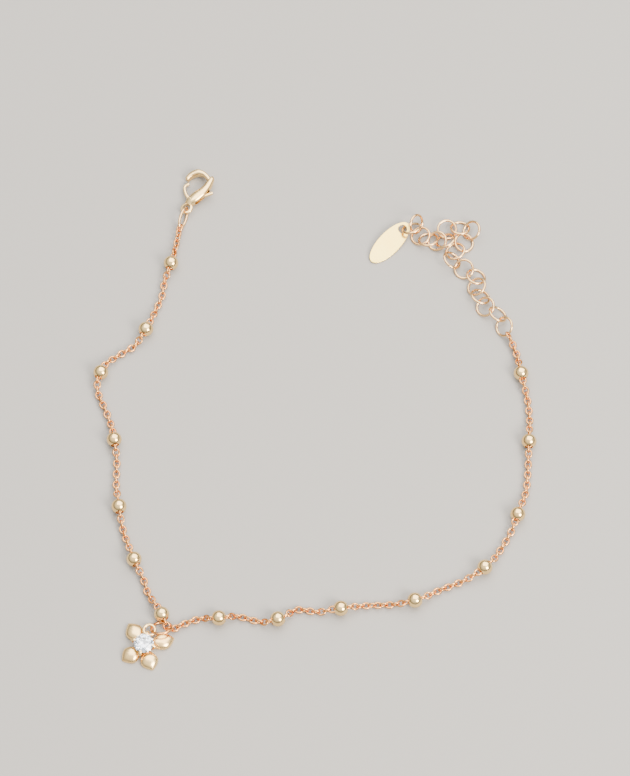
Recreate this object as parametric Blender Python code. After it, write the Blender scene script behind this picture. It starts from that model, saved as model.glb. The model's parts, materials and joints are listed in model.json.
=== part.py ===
"""Charm anklet, unclasped and lying on a flat surface.

A fine cable chain carries fifteen round beads and, beside one of them, a four-petal flower
charm with a round cut stone. A lobster clasp hangs on one end of the chain. The other end
runs on into an extender of large round links with a flat oval tag on its last link.

Run with: blender --background --python part.py
Lengths are in metres and +Z is up. The origin is the bottom centre of the whole anklet.
"""
import math

import bmesh
import bpy
from mathutils import Matrix, Vector

MM = 0.001

# Fine chain, a round bar of the chain's girth with one real link at each end
CHAIN_DIAMETER = 1.2 * MM
CHAIN_POINT_SPACING = 3.2 * MM
LINK_LENGTH = 1.95 * MM
LINK_WIDTH = 1.6 * MM
LINK_WIRE = 0.4 * MM
LINK_PLAY = 0.1 * MM
SEAM_GAP = 0.3 * MM

# Beads, drilled balls threaded on the chain
BEAD_DIAMETER = 3.0 * MM
BORE_CLEARANCE = 0.15 * MM

# Lobster clasp and the oval ring behind it
CLASP_LENGTH = 10.7 * MM
CLASP_THICKNESS = 2.0 * MM
EYE_HOLE = 1.7 * MM
EYE_WALL = 0.45 * MM
EYE_THICKNESS = 0.6 * MM
SLOT_WIDTH = 0.7 * MM
LEVER_THICKNESS = 0.5 * MM
PIN_DIAMETER = 0.6 * MM
PIN_CLEARANCE = 0.1 * MM
HUB_WALL = 0.25 * MM
CLASP_RING_LENGTH = 5.1 * MM
CLASP_RING_WIDTH = 2.5 * MM
CLASP_RING_WIRE = 0.55 * MM
CLASP_RING_PLAY = 0.55 * MM
CLASP_LINK_HEADING = 80.0
CLASP_RING_HEADING = 73.5
CLASP_RING_ROLL = 60.0
CLASP_HEADING = 74.5
CLASP_ROLL = 12.0
CLAW_ROUNDNESS = 0.75

# Charm: flower, stone and jump ring
PETAL_LENGTH = 6.0 * MM
PETAL_WIDTH = 3.5 * MM
PETAL_HEIGHT = 1.4 * MM
STONE_DIAMETER = 3.9 * MM
STONE_BACK = 0.45 * MM
STONE_CLEARANCE = 0.15 * MM
COLLAR_WALL = 0.28 * MM
PRONG_DIAMETER = 0.66 * MM
LOOP_HOLE = 1.7 * MM
LOOP_WIRE = 0.5 * MM
LOOP_BEARING = 72.0
CHARM_RING_DIAMETER = 4.46 * MM
CHARM_RING_WIRE = 0.46 * MM
CHARM_RING_PLAY = 0.35 * MM
CHARM_RING_PLACE = (-29.7 * MM, -51.85 * MM)
CHARM_RING_HEADING = 10.0
CHARM_RING_ROLL = -35.0

# Extender rings and the end tag
EXT_RING_DIAMETER = 4.2 * MM
EXT_RING_WIRE = 0.42 * MM
TAG_LENGTH = 11.3 * MM
TAG_WIDTH = 4.5 * MM
TAG_THICKNESS = 0.3 * MM
TAG_HOLE = 1.8 * MM
TAG_HOLE_EDGE = 0.8 * MM
TAG_HEADING = 48.0
TAG_BEARING = 168.0
TAG_ROLL = 10.0

# Facets of round things
BEAD_SIDES = 14
BEAD_STEPS = 7
RING_SIDES = 14
WIRE_SIDES = 6
LINK_SIDES = 10
CLAW_SIDES = 10
PRONG_SIDES = 8
TAG_SIDES = 32
PIN_SIDES = 16

# Where the chain lies. Columns: piece, x and y in millimetres, and how far it is lifted
# above its resting height. The first and last rows are the ends of the chain.
ROUTE = (
    ("chain", -27.8, 34.2, 0.5),
    ("chain", -28.4, 31.0, 0.1),
    ("bead", -29.2, 27.3, 0.0),
    ("chain", -30.5, 23.4, 0.0),
    ("chain", -30.9, 20.2, 0.0),
    ("chain", -32.2, 16.8, 0.0),
    ("bead", -34.0, 12.4, 0.0),
    ("chain", -36.3, 8.9, 0.0),
    ("chain", -39.6, 6.7, 0.0),
    ("bead", -42.8, 2.8, 0.0),
    ("chain", -43.2, -1.8, 0.0),
    ("chain", -41.7, -5.2, 0.0),
    ("chain", -40.6, -8.3, 0.0),
    ("bead", -39.8, -11.9, 0.0),
    ("chain", -39.2, -16.2, 0.0),
    ("chain", -39.2, -21.3, 0.0),
    ("bead", -38.5, -26.3, 0.0),
    ("chain", -37.6, -31.2, 0.0),
    ("bead", -35.3, -37.5, 0.0),
    ("chain", -33.4, -41.4, 0.0),
    ("chain", -32.4, -44.6, 0.0),
    ("bead", -29.7, -49.0, 0.0),
    ("chain", -28.9, -51.2, 0.45),
    ("chain", -28.1, -52.0, 0.0),
    ("chain", -27.0, -51.6, 0.0),
    ("chain", -25.0, -50.6, 0.0),
    ("chain", -21.9, -49.6, 0.0),
    ("bead", -18.6, -49.8, 0.0),
    ("chain", -15.4, -49.1, 0.0),
    ("chain", -10.9, -50.3, 0.0),
    ("bead", -7.2, -50.0, 0.0),
    ("chain", -3.8, -47.8, 0.0),
    ("chain", 0.6, -48.3, 0.0),
    ("bead", 5.0, -47.8, 0.0),
    ("chain", 9.6, -47.0, 0.0),
    ("chain", 14.5, -46.8, 0.0),
    ("bead", 19.4, -46.1, 0.0),
    ("chain", 23.9, -43.9, 0.0),
    ("chain", 28.3, -42.1, 0.0),
    ("bead", 33.1, -39.2, 0.0),
    ("chain", 36.2, -35.4, 0.0),
    ("chain", 38.3, -31.8, 0.0),
    ("bead", 39.8, -28.0, 0.0),
    ("chain", 41.6, -22.8, 0.0),
    ("chain", 42.1, -17.8, 0.0),
    ("bead", 42.4, -12.3, 0.0),
    ("chain", 42.7, -7.0, 0.0),
    ("chain", 42.3, -2.4, 0.0),
    ("bead", 41.2, 2.6, 0.0),
    ("chain", 40.5, 7.0, 0.1),
    ("chain", 39.4, 9.8, 0.6),
)

# How each extender ring follows the one before it. Columns: heading of the step in degrees,
# length of the step as a share of the taut step, heading that the ring faces, roll about
# that heading, pitch of its near edge upwards, and lift in wire diameters.
EXTENDER = (
    (113, 0.00, 113, -42, 0, 0.0),
    (113, 0.93, 125, 35, 0, 0.0),
    (145, 0.90, 128, -30, 8, 0.0),
    (112, 0.74, 112, 25, 12, 0.0),
    (108, 0.70, 105, -25, 12, 0.0),
    (92, 0.70, 110, 20, 10, 0.0),
    (145, 0.88, 145, -25, 0, 0.0),
    (142, 0.90, 110, 35, 0, 0.0),
    (72, 0.72, 65, -18, 0, 0.0),
    (48, 0.80, 60, 15, 0, 0.0),
    (58, 0.86, 105, -35, 0, 0.3),
    (162, 0.72, 174, 24, 0, 0.0),
    (186, 0.80, 212, -18, 3, 0.3),
    (262, 0.80, 222, 30, 0, 0.0),
    (180, 0.50, 180, -14, 20, 0.0),
    (170, 0.54, 164, 20, 14, 0.0),
    (148, 0.54, 160, -8, 14, 0.0),
    (112, 0.70, 60, 60, 0, 0.0),
    (219, 0.38, 172, 30, 20, 0.4),
)

# The clasp seen from above, its eye at the origin. Columns: across, along, width and
# thickness. The first three are shares of the clasp's length, the last of its thickness.
CLASP_ARM = (
    (0.004, 0.085, 0.140, 0.60),
    (0.034, 0.150, 0.175, 0.90),
    (0.088, 0.220, 0.212, 1.00),
    (0.140, 0.290, 0.212, 1.00),
    (0.193, 0.380, 0.172, 0.95),
    (0.250, 0.489, 0.137, 0.85),
    (0.288, 0.600, 0.128, 0.75),
    (0.304, 0.690, 0.100, 0.62),
    (0.306, 0.750, 0.045, 0.38),
)
CLASP_HOOK = (
    (0.288, 0.650, 0.075, 0.52),
    (0.214, 0.722, 0.086, 0.66),
    (0.115, 0.782, 0.098, 0.78),
    (0.000, 0.795, 0.128, 0.85),
    (-0.088, 0.747, 0.118, 0.82),
    (-0.149, 0.675, 0.100, 0.74),
    (-0.177, 0.605, 0.066, 0.58),
)
# The lever's two limbs, in the same columns without the thickness
LEVER_GATE = (
    (0.028, 0.192, 0.060),
    (-0.045, 0.238, 0.056),
    (-0.125, 0.316, 0.052),
    (-0.176, 0.420, 0.050),
    (-0.166, 0.497, 0.052),
    (-0.134, 0.535, 0.046),
)
LEVER_NIB = (
    (0.028, 0.192, 0.066),
    (0.150, 0.258, 0.070),
    (0.285, 0.335, 0.062),
    (0.374, 0.388, 0.062),
    (0.412, 0.410, 0.040),
)
PIVOT = (0.028, 0.192)
SLOT_FOOT = 0.125
SLOT_HEAD = 0.458

# Petals by their bearing from the stone and their length as a share of the longest
PETALS = ((123, 0.95), (17, 1.00), (290, 0.84), (214, 0.84))
# Sections of a petal. Columns: place along it, width and height, as shares of its sizes.
PETAL_SECTIONS = (
    (0.25, 0.42, 0.75),
    (0.40, 0.74, 0.95),
    (0.56, 0.97, 1.00),
    (0.70, 0.97, 0.92),
    (0.83, 0.72, 0.74),
    (0.93, 0.38, 0.52),
    (1.00, 0.08, 0.32),
)
PETAL_EDGE = 0.22

COLOURS = {
    "champagne_gold": ((0.86, 0.72, 0.52, 1.0), 0.18, 1.0),
    "rose_gold": ((0.82, 0.50, 0.33, 1.0), 0.22, 1.0),
    "pale_rose_gold": ((0.88, 0.66, 0.48, 1.0), 0.20, 1.0),
    "crystal": ((0.90, 0.95, 1.0, 1.0), 0.02, 0.0),
}


def clear_scene():
    for thing in list(bpy.data.objects):
        bpy.data.objects.remove(thing, do_unlink=True)


def material(name):
    found = bpy.data.materials.get(name)
    if found:
        return found
    made = bpy.data.materials.new(name)
    made.use_nodes = True
    colour, roughness, metallic = COLOURS[name]
    shader = made.node_tree.nodes["Principled BSDF"]
    shader.inputs["Base Color"].default_value = colour
    shader.inputs["Roughness"].default_value = roughness
    shader.inputs["Metallic"].default_value = metallic
    return made


def add_object(name, data, finish, parent, place=Matrix()):
    """A named object with its own finish, placed in its parent's frame."""
    thing = bpy.data.objects.new(name, data)
    bpy.context.collection.objects.link(thing)
    if not data.materials:
        data.materials.append(material(finish))
    thing.parent = parent
    thing.matrix_local = place
    return thing


def finish_mesh(bm, name, smooth=True):
    bmesh.ops.recalc_face_normals(bm, faces=bm.faces)
    mesh = bpy.data.meshes.new(name)
    bm.to_mesh(mesh)
    bm.free()
    if smooth:
        mesh.shade_smooth()
        mesh.set_sharp_from_angle(angle=math.radians(40.0))
    return mesh


def combine(thing, tool, operation):
    """Add the tool to the thing or cut it away, and keep the tool as a hidden guide."""
    tool.hide_render = True
    tool.display_type = "WIRE"
    step = thing.modifiers.new(tool.name, "BOOLEAN")
    step.operation = operation
    step.solver = "EXACT"
    step.object = tool


def add_loop(bm, points):
    verts = [bm.verts.new(point) for point in points]
    return [bm.edges.new(pair) for pair in zip(verts, verts[1:] + verts[:1])]


def loft(bm, loops):
    """Skin a row of closed loops of points and close both ends."""
    rings = [add_loop(bm, points) for points in loops]
    for near, far in zip(rings, rings[1:]):
        bmesh.ops.bridge_loops(bm, edges=near + far)
    for end in (rings[0], rings[-1]):
        bmesh.ops.edgeloop_fill(bm, edges=end)


def direction(heading):
    angle = math.radians(heading)
    return Vector((math.cos(angle), math.sin(angle), 0.0))


def lying(heading, pitch=0.0, roll=0.0):
    """Turn a piece that lies along X to a heading, its near edge pitched up, then rolled."""
    turn = Matrix.Rotation(math.radians(heading), 4, "Z")
    tip = Matrix.Rotation(math.radians(pitch), 4, "Y")
    spin = Matrix.Rotation(math.radians(roll), 4, "X")
    return turn @ tip @ spin


def wire_loop(name, length, width, wire, sides, wire_sides=WIRE_SIDES):
    """A closed oval loop of round wire in the XY plane, given by its outer sizes."""
    bm = bmesh.new()
    long_radius = (length - wire) / 2
    short_radius = (width - wire) / 2
    rings = []
    for step in range(sides):
        angle = 2 * math.pi * (step + 0.5) / sides
        place = Vector((long_radius * math.cos(angle), short_radius * math.sin(angle), 0.0))
        outward = Vector((short_radius * math.cos(angle), long_radius * math.sin(angle), 0.0))
        outward.normalize()
        points = []
        for corner in range(wire_sides):
            turn = 2 * math.pi * (corner + 0.5) / wire_sides
            rise = Vector((0.0, 0.0, math.sin(turn)))
            points.append(place + (outward * math.cos(turn) + rise) * wire / 2)
        rings.append(add_loop(bm, points))
    for near, far in zip(rings, rings[1:] + rings[:1]):
        bmesh.ops.bridge_loops(bm, edges=near + far)
    return finish_mesh(bm, name)


def oval_rest_height(length, width, wire, turn):
    """Height of an oval loop's centre when its lowest point touches the ground."""
    along = turn.col[0].z * (length - wire) / 2
    across = turn.col[1].z * (width - wire) / 2
    return wire / 2 + math.hypot(along, across)


# Route of the chain

def resting_height(piece):
    return (BEAD_DIAMETER if piece == "bead" else CHAIN_DIAMETER) / 2


def route_points():
    return [Vector((x * MM, y * MM, resting_height(piece) + lift * MM))
            for piece, x, y, lift in ROUTE]


def bead_frames():
    """Centre and direction of the chain at each bead, in order from the clasp."""
    points = route_points()
    frames = []
    for index, row in enumerate(ROUTE):
        if row[0] == "bead":
            way = points[index + 1] - points[index - 1]
            way.z = 0.0
            frames.append((points[index], way.normalized()))
    return frames


def bead_half_length():
    bore = CHAIN_DIAMETER / 2 + BORE_CLEARANCE
    return math.sqrt((BEAD_DIAMETER / 2) ** 2 - bore ** 2)


def curve_point(before, start, end, after, share):
    """A point on the Catmull-Rom curve from start to end."""
    square = share * share
    cube = square * share
    return 0.5 * (2 * start + (end - before) * share
                  + (2 * before - 5 * start + 4 * end - after) * square
                  + (3 * start - before - 3 * end + after) * cube)


def chain_run():
    """Points of the whole chain, straight through every bead, with each bead's place."""
    straight = bead_half_length() + SEAM_GAP
    beads = iter(bead_frames())
    knots = []
    starts = []
    for piece, point in zip((row[0] for row in ROUTE), route_points()):
        if piece == "bead":
            centre, way = next(beads)
            starts.append(len(knots))
            knots.extend((centre - way * straight, centre + way * straight))
        else:
            knots.append(point)
    run = [knots[0]]
    seats = []
    for index in range(len(knots) - 1):
        start, end = knots[index], knots[index + 1]
        if index in starts:
            seats.append(len(run) - 1)
            run.append(end)
            continue
        before = knots[max(index - 1, 0)]
        after = knots[min(index + 2, len(knots) - 1)]
        steps = max(1, round((end - start).length / CHAIN_POINT_SPACING))
        for step in range(1, steps + 1):
            point = curve_point(before, start, end, after, step / steps)
            point.z = max(point.z, CHAIN_DIAMETER / 2)
            run.append(point)
    return run, seats


def add_chain(name, points, parent):
    curve = bpy.data.curves.new(name, "CURVE")
    curve.dimensions = "3D"
    curve.bevel_depth = CHAIN_DIAMETER / 2
    curve.bevel_resolution = 2
    curve.resolution_u = 1
    curve.use_fill_caps = True
    spline = curve.splines.new("POLY")
    spline.points.add(len(points) - 1)
    for spot, point in zip(spline.points, points):
        spot.co = (*point, 1.0)
    return add_object(name, curve, "rose_gold", parent)


def add_chains(parent):
    """The chain in two runs that meet inside the middle bead."""
    run, seats = chain_run()
    frames = bead_frames()
    centre, way = frames[len(frames) // 2]
    split = seats[len(frames) // 2]
    add_chain("chain_clasp_side", run[:split + 1] + [centre - way * SEAM_GAP / 2], parent)
    add_chain("chain_extender_side", [centre + way * SEAM_GAP / 2] + run[split + 1:], parent)


def bead_mesh():
    """A ball turned round the X axis, with a bore for the chain along it."""
    bm = bmesh.new()
    bore = CHAIN_DIAMETER / 2 + BORE_CLEARANCE
    radius = BEAD_DIAMETER / 2
    first = math.asin(bore / radius)
    outline = []
    for step in range(BEAD_STEPS + 1):
        angle = first + (math.pi - 2 * first) * step / BEAD_STEPS
        outline.append(Vector((radius * math.cos(angle), 0.0, radius * math.sin(angle))))
    edges = add_loop(bm, outline)
    bmesh.ops.spin(bm, geom=edges, cent=(0, 0, 0), axis=(1, 0, 0), angle=2 * math.pi,
                   steps=BEAD_SIDES, use_merge=True)
    bmesh.ops.remove_doubles(bm, verts=bm.verts, dist=1e-7)
    return finish_mesh(bm, "bead")


def add_beads(parent):
    mesh = bead_mesh()
    for number, (centre, way) in enumerate(bead_frames(), start=1):
        place = Matrix.Translation(centre) @ way.to_track_quat("X", "Z").to_matrix().to_4x4()
        add_object(f"bead_{number:02d}", mesh, "champagne_gold", parent, place)


# Clasp

def claw_loops(table, half_thickness=None):
    """Cross sections along a limb of the clasp, each square to the limb."""
    centres = [Vector((across, along, 0.0)) * CLASP_LENGTH for across, along, *_ in table]
    loops = []
    for index, row in enumerate(table):
        way = centres[min(index + 1, len(table) - 1)] - centres[max(index - 1, 0)]
        side = Vector((way.y, -way.x, 0.0)).normalized()
        half_width = row[2] * CLASP_LENGTH / 2
        if half_thickness is None:
            half_height = row[3] * CLASP_THICKNESS / 2
            loops.append([centres[index] + side * half_width * squared(math.cos(turn))
                          + Vector((0.0, 0.0, half_height * squared(math.sin(turn))))
                          for turn in section_turns(CLAW_SIDES)])
        else:
            rise = Vector((0.0, 0.0, half_thickness))
            reach = side * half_width
            loops.append([centres[index] + reach + rise, centres[index] - reach + rise,
                          centres[index] - reach - rise, centres[index] + reach - rise])
    return loops


def section_turns(sides):
    return [2 * math.pi * (step + 0.5) / sides for step in range(sides)]


def squared(value):
    """A sine or cosine pushed outwards, so that an oval section gets fuller shoulders."""
    return math.copysign(abs(value) ** CLAW_ROUNDNESS, value)


def claw_limb(name, table, finish, parent, half_thickness=None):
    bm = bmesh.new()
    loft(bm, claw_loops(table, half_thickness))
    return add_object(name, finish_mesh(bm, name), finish, parent)


def disc(name, radius, height, sides, finish, parent, place=Matrix()):
    bm = bmesh.new()
    bmesh.ops.create_cone(bm, cap_ends=True, segments=sides, radius1=radius, radius2=radius,
                          depth=height)
    return add_object(name, finish_mesh(bm, name), finish, parent, place)


def slot_cutter(parent):
    """The slot between the two cheeks, where the lever turns."""
    bm = bmesh.new()
    bmesh.ops.create_cube(bm, size=1.0)
    length = (SLOT_HEAD - SLOT_FOOT) * CLASP_LENGTH
    bmesh.ops.scale(bm, vec=(CLASP_LENGTH, length, SLOT_WIDTH), verts=bm.verts)
    middle = (SLOT_HEAD + SLOT_FOOT) / 2 * CLASP_LENGTH
    place = Matrix.Translation((0.0, middle, 0.0))
    return add_object("slot_cutter", finish_mesh(bm, "slot_cutter", False),
                      "champagne_gold", parent, place)


def add_clasp(parent, eye):
    """The claw with its eye and rivet, and the lever on its own pivot."""
    seat = bpy.data.objects.new("clasp_seat", None)
    bpy.context.collection.objects.link(seat)
    seat.parent = parent
    turn = (Matrix.Rotation(math.radians(CLASP_HEADING - 90.0), 4, "Z")
            @ Matrix.Rotation(math.radians(-CLASP_ROLL), 4, "Y"))
    low = min((turn @ point).z for table in (CLASP_ARM, CLASP_HOOK)
              for points in claw_loops(table) for point in points)
    seat.matrix_local = Matrix.Translation((eye.x, eye.y, -low)) @ turn

    body = claw_limb("clasp_body", CLASP_ARM, "champagne_gold", seat)
    hook = claw_limb("clasp_hook_guide", CLASP_HOOK, "champagne_gold", seat)
    eye_outer = EYE_HOLE + 2 * EYE_WALL
    rim = disc("eye_guide", eye_outer / 2, EYE_THICKNESS, 2 * RING_SIDES,
               "champagne_gold", seat)
    hole = disc("eye_hole_cutter", EYE_HOLE / 2, CLASP_THICKNESS * 2, 2 * RING_SIDES,
                "champagne_gold", seat)
    pivot = Vector((*PIVOT, 0.0)) * CLASP_LENGTH
    pin = disc("rivet_guide", PIN_DIAMETER / 2, CLASP_THICKNESS * 0.92, PIN_SIDES,
               "champagne_gold", seat, Matrix.Translation(pivot))
    combine(body, hook, "UNION")
    combine(body, rim, "UNION")
    combine(body, hole, "DIFFERENCE")
    slot = slot_cutter(seat)
    combine(slot, pin, "DIFFERENCE")
    combine(body, slot, "DIFFERENCE")

    hinge = bpy.data.objects.new("clasp_lever_pivot", None)
    bpy.context.collection.objects.link(hinge)
    hinge.parent = seat
    hinge.matrix_local = Matrix.Translation(pivot)
    bore = PIN_DIAMETER / 2 + PIN_CLEARANCE
    lever = disc("clasp_lever", bore + HUB_WALL, LEVER_THICKNESS, PIN_SIDES,
                 "champagne_gold", hinge)
    back = Matrix.Translation(-pivot)
    for name, table in (("gate_guide", LEVER_GATE), ("nib_guide", LEVER_NIB)):
        limb = claw_limb(name, table, "champagne_gold", hinge, LEVER_THICKNESS / 2)
        limb.matrix_local = back
        combine(lever, limb, "UNION")
    combine(lever, disc("lever_bore_cutter", bore, CLASP_THICKNESS, PIN_SIDES,
                        "champagne_gold", hinge), "DIFFERENCE")


def add_clasp_side(parent):
    """End link, oval ring and clasp, each hooked into the one before it."""
    start = route_points()[0]
    ring_turn = lying(CLASP_RING_HEADING, 0.0, CLASP_RING_ROLL)
    height = oval_rest_height(CLASP_RING_LENGTH, CLASP_RING_WIDTH, CLASP_RING_WIRE, ring_turn)

    link_way = direction(CLASP_LINK_HEADING)
    link = start + link_way * (SEAM_GAP + LINK_LENGTH / 2)
    link.z = height
    link_turn = lying(CLASP_LINK_HEADING, 0.0, CLASP_RING_ROLL - 90.0)
    mesh = wire_loop("end_link", LINK_LENGTH, LINK_WIDTH, LINK_WIRE, LINK_SIDES)
    add_object("end_link_clasp_side", mesh, "rose_gold", parent,
               Matrix.Translation(link) @ link_turn)

    ring_way = direction(CLASP_RING_HEADING)
    hooked = (LINK_LENGTH / 2 - LINK_WIRE - CLASP_RING_WIRE / 2 - LINK_PLAY)
    near = link + link_way * hooked
    reach = (CLASP_RING_LENGTH - CLASP_RING_WIRE) / 2
    ring = near + ring_way * reach
    ring_mesh = wire_loop("clasp_ring", CLASP_RING_LENGTH, CLASP_RING_WIDTH,
                          CLASP_RING_WIRE, RING_SIDES)
    add_object("clasp_ring", ring_mesh, "pale_rose_gold", parent,
               Matrix.Translation(ring) @ ring_turn)

    inset = EYE_HOLE / 2 - CLASP_RING_WIRE / 2 - CLASP_RING_PLAY
    add_clasp(parent, ring + ring_way * (reach + inset))


# Charm

def petal_loops(length):
    """Sections of a petal along +X, flat below and domed above."""
    loops = []
    for along, width, height in PETAL_SECTIONS:
        half = width * PETAL_WIDTH / 2
        top = height * PETAL_HEIGHT
        edge = top * PETAL_EDGE
        points = [Vector((along * length, -half, 0.0)), Vector((along * length, half, 0.0))]
        for step in range(7):
            turn = math.pi * step / 6
            points.append(Vector((along * length, half * math.cos(turn),
                                  edge + (top - edge) * math.sin(turn))))
        loops.append(points)
    return loops


def pavilion_depth():
    return 0.43 * STONE_DIAMETER


def crown_height():
    return 0.15 * STONE_DIAMETER


def stone_mesh():
    """A round cut: octagonal table, sixteen-sided girdle and a pointed back."""
    bm = bmesh.new()
    radius = STONE_DIAMETER / 2
    girdle = STONE_BACK + pavilion_depth()
    table = girdle + crown_height()
    rim = 0.02 * STONE_DIAMETER
    rows = (
        (8, 0.5, 0.56 * radius, table),
        (8, 0.0, 0.80 * radius, table - 0.42 * crown_height()),
        (16, 0.0, radius, girdle + rim),
        (16, 0.0, radius, girdle),
        (8, 0.0, 0.45 * radius, STONE_BACK + 0.42 * pavilion_depth()),
    )
    for count, offset, reach, height in rows:
        for step in range(count):
            turn = 2 * math.pi * (step + offset) / count
            bm.verts.new((reach * math.cos(turn), reach * math.sin(turn), height))
    bm.verts.new((0.0, 0.0, STONE_BACK))
    hull = bmesh.ops.convex_hull(bm, input=bm.verts)
    spare = [item for item in hull["geom_interior"] if isinstance(item, bmesh.types.BMVert)]
    bmesh.ops.delete(bm, geom=spare, context="VERTS")
    return finish_mesh(bm, "crystal", False)


def prong_loops():
    """One claw beside the stone, its rounded tip leaning over the edge."""
    girdle = STONE_BACK + pavilion_depth()
    radius = PRONG_DIAMETER / 2
    out = STONE_DIAMETER / 2 + STONE_CLEARANCE + radius
    rows = (
        (out, 0.35 * girdle, 0.9),
        (out, 0.90 * girdle, 0.9),
        (out - 0.30 * radius, girdle + 0.45 * crown_height(), 1.05),
        (out - 0.55 * radius, girdle + 1.00 * crown_height(), 0.95),
        (out - 0.65 * radius, girdle + 1.25 * crown_height(), 0.45),
    )
    return [[Vector((reach + share * radius * math.cos(turn),
                     share * radius * math.sin(turn), height))
             for turn in section_turns(PRONG_SIDES)]
            for reach, height, share in rows]


def add_flower(parent, centre, loop_height):
    """Petals, stone collar, claws and loop, soldered into one piece with a flat back."""
    place = Matrix.Translation((centre.x, centre.y, 0.0))
    girdle = STONE_BACK + pavilion_depth()
    slope = pavilion_depth() / (STONE_DIAMETER / 2)
    offset = STONE_CLEARANCE * math.hypot(1.0, slope)
    collar_top = girdle - 0.5 * STONE_CLEARANCE
    inner = (collar_top - STONE_BACK + offset) / slope

    bm = bmesh.new()
    bmesh.ops.create_cone(bm, cap_ends=True, segments=2 * RING_SIDES,
                          radius1=0.8 * inner, radius2=inner + COLLAR_WALL, depth=collar_top,
                          matrix=Matrix.Translation((0, 0, collar_top / 2)))
    flower = add_object("flower_charm", finish_mesh(bm, "flower_charm"),
                        "champagne_gold", parent, place)
    for number, (bearing, share) in enumerate(PETALS, start=1):
        bm = bmesh.new()
        loft(bm, petal_loops(share * PETAL_LENGTH))
        petal = add_object(f"petal_guide_{number}", finish_mesh(bm, "petal"),
                           "champagne_gold", parent,
                           place @ Matrix.Rotation(math.radians(bearing), 4, "Z"))
        combine(flower, petal, "UNION")

    bm = bmesh.new()
    for quarter in range(4):
        loft_turned(bm, prong_loops(), LOOP_BEARING + 90.0 * quarter)
    prongs = add_object("prong_guide", finish_mesh(bm, "prongs"), "champagne_gold",
                        parent, place)
    combine(flower, prongs, "UNION")

    loop_outer = LOOP_HOLE + 2 * LOOP_WIRE
    loop = add_object("loop_guide",
                      wire_loop("loop", loop_outer, loop_outer, LOOP_WIRE, RING_SIDES),
                      "champagne_gold", parent,
                      place @ Matrix.Translation(loop_offset() + Vector((0, 0, loop_height))))
    combine(flower, loop, "UNION")

    bm = bmesh.new()
    tall = collar_top + STONE_DIAMETER - STONE_BACK + offset
    bmesh.ops.create_cone(bm, cap_ends=True, segments=2 * RING_SIDES,
                          radius1=0.05 * MM, radius2=tall / slope, depth=tall,
                          matrix=Matrix.Translation((0, 0, STONE_BACK - offset + tall / 2)))
    seat = add_object("stone_seat_cutter", finish_mesh(bm, "seat", False),
                      "champagne_gold", parent, place)
    combine(flower, seat, "DIFFERENCE")
    add_object("crystal", stone_mesh(), "crystal", parent, place)


def loft_turned(bm, loops, bearing):
    turn = Matrix.Rotation(math.radians(bearing), 4, "Z")
    loft(bm, [[turn @ point for point in points] for points in loops])


def loop_offset():
    """Centre of the charm's loop, seen from the stone."""
    reach = STONE_DIAMETER / 2 + STONE_CLEARANCE + LOOP_HOLE / 2 + LOOP_WIRE / 2
    return direction(LOOP_BEARING) * reach


def add_charm(parent):
    turn = lying(CHARM_RING_HEADING, 0.0, CHARM_RING_ROLL)
    height = oval_rest_height(CHARM_RING_DIAMETER, CHARM_RING_DIAMETER, CHARM_RING_WIRE, turn)
    ring = Vector((*CHARM_RING_PLACE, height))
    mesh = wire_loop("charm_ring", CHARM_RING_DIAMETER, CHARM_RING_DIAMETER,
                     CHARM_RING_WIRE, RING_SIDES)
    add_object("charm_ring", mesh, "rose_gold", parent, Matrix.Translation(ring) @ turn)
    reach = (CHARM_RING_DIAMETER - CHARM_RING_WIRE) / 2 + CHARM_RING_PLAY
    hole = ring - direction(CHARM_RING_HEADING) * reach
    add_flower(parent, hole - loop_offset(), height)


# Extender

def extender_frames(start):
    """Centre and attitude of each extender ring, walked from the end of the chain."""
    taut = EXT_RING_DIAMETER - 2 * EXT_RING_WIRE
    spot = Vector(start)
    frames = []
    for heading, share, face, roll, pitch, lift in EXTENDER:
        spot = spot + direction(heading) * share * taut
        turn = lying(face, pitch, roll)
        height = oval_rest_height(EXT_RING_DIAMETER, EXT_RING_DIAMETER, EXT_RING_WIRE, turn)
        frames.append((Vector((spot.x, spot.y, height + lift * EXT_RING_WIRE)), turn))
    return frames


def add_extender(parent):
    heading, _, face, roll, pitch, _ = EXTENDER[0]
    way = direction(heading)
    end = route_points()[-1]
    link = end + way * (SEAM_GAP + LINK_LENGTH / 2)
    hooked = LINK_LENGTH / 2 - LINK_WIRE - EXT_RING_WIRE / 2 - LINK_PLAY
    first = link + way * (hooked + (EXT_RING_DIAMETER - EXT_RING_WIRE) / 2)
    frames = extender_frames(first)
    link.z = frames[0][0].z
    mesh = wire_loop("end_link_2", LINK_LENGTH, LINK_WIDTH, LINK_WIRE, LINK_SIDES)
    add_object("end_link_extender_side", mesh, "rose_gold", parent,
               Matrix.Translation(link) @ lying(face, pitch, roll + 90.0))
    ring_mesh = wire_loop("ext_ring", EXT_RING_DIAMETER, EXT_RING_DIAMETER,
                          EXT_RING_WIRE, RING_SIDES)
    for number, (centre, turn) in enumerate(frames, start=1):
        add_object(f"ext_ring_{number:02d}", ring_mesh, "pale_rose_gold", parent,
                   Matrix.Translation(centre) @ turn)
    add_tag(parent, *frames[-1])


def tag_pitch(height, hole_reach):
    """Pitch that puts the tag's hole at a height while its lowest edge is on the ground."""
    rise = height - TAG_THICKNESS / 2
    half = TAG_LENGTH / 2
    edge = TAG_WIDTH / 2 * math.sin(math.radians(TAG_ROLL))
    square = half ** 2 - hole_reach ** 2
    root = math.sqrt((hole_reach * rise) ** 2 + square * max(rise ** 2 - edge ** 2, 0.0))
    return -math.degrees(math.asin((root - hole_reach * rise) / square))


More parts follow.
